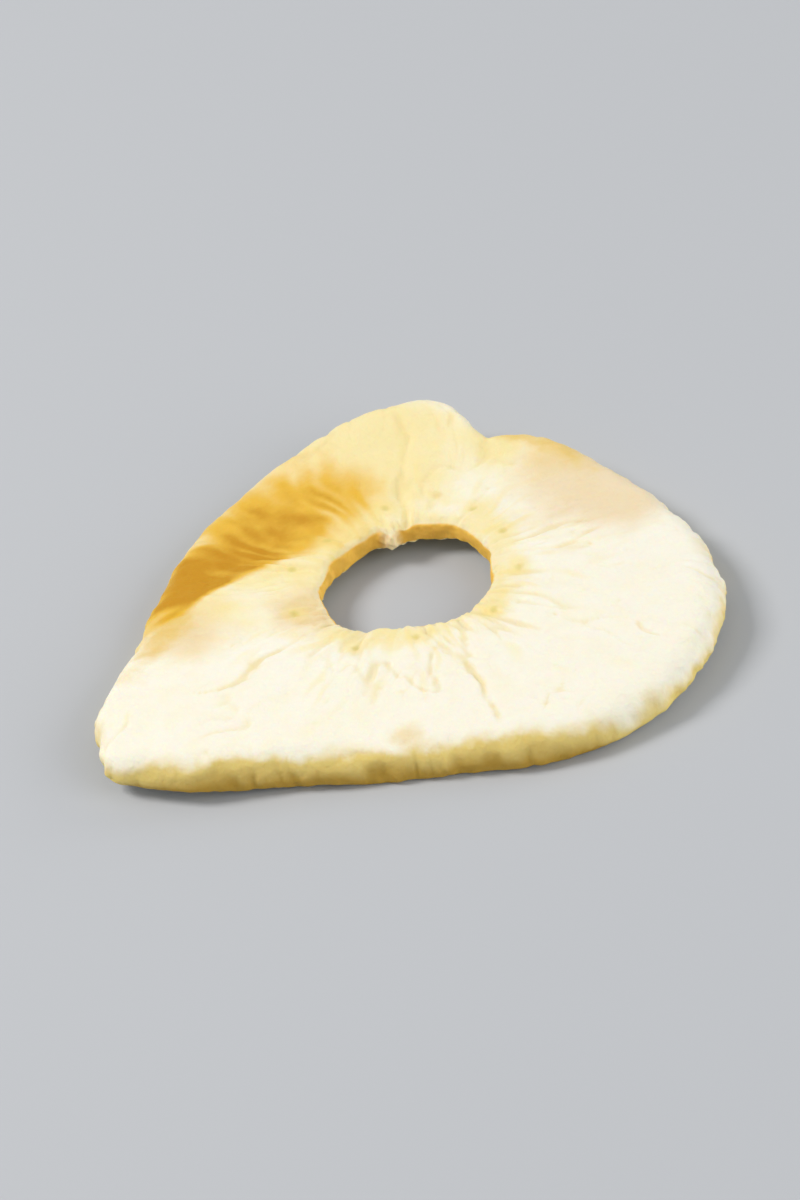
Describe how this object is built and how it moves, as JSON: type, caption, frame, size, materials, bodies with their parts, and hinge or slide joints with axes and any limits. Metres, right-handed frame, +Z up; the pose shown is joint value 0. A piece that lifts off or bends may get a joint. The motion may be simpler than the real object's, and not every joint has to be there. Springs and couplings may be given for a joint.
{
  "type": "dried apple slice",
  "caption": "Leathery ring-shaped slice of peeled dried apple with an open core hole, a thicker uneven rim, shallow creases and a slightly curled edge; rests flat.",
  "frame": {"origin": "on the surface the slice lies on, under the middle of its outline", "axes": "+Z up through the shown cut face, +X along the slice's length towards its round right end, -Y towards its straight near side"},
  "size_m": [0.0532, 0.0494, 0.0058],
  "materials": {
    "apple_flesh": "matte, slightly translucent, leathery"
  },
  "bodies": {
    "root": {"dried_apple_slice": "apple_flesh"}
  },
  "joints": []
}
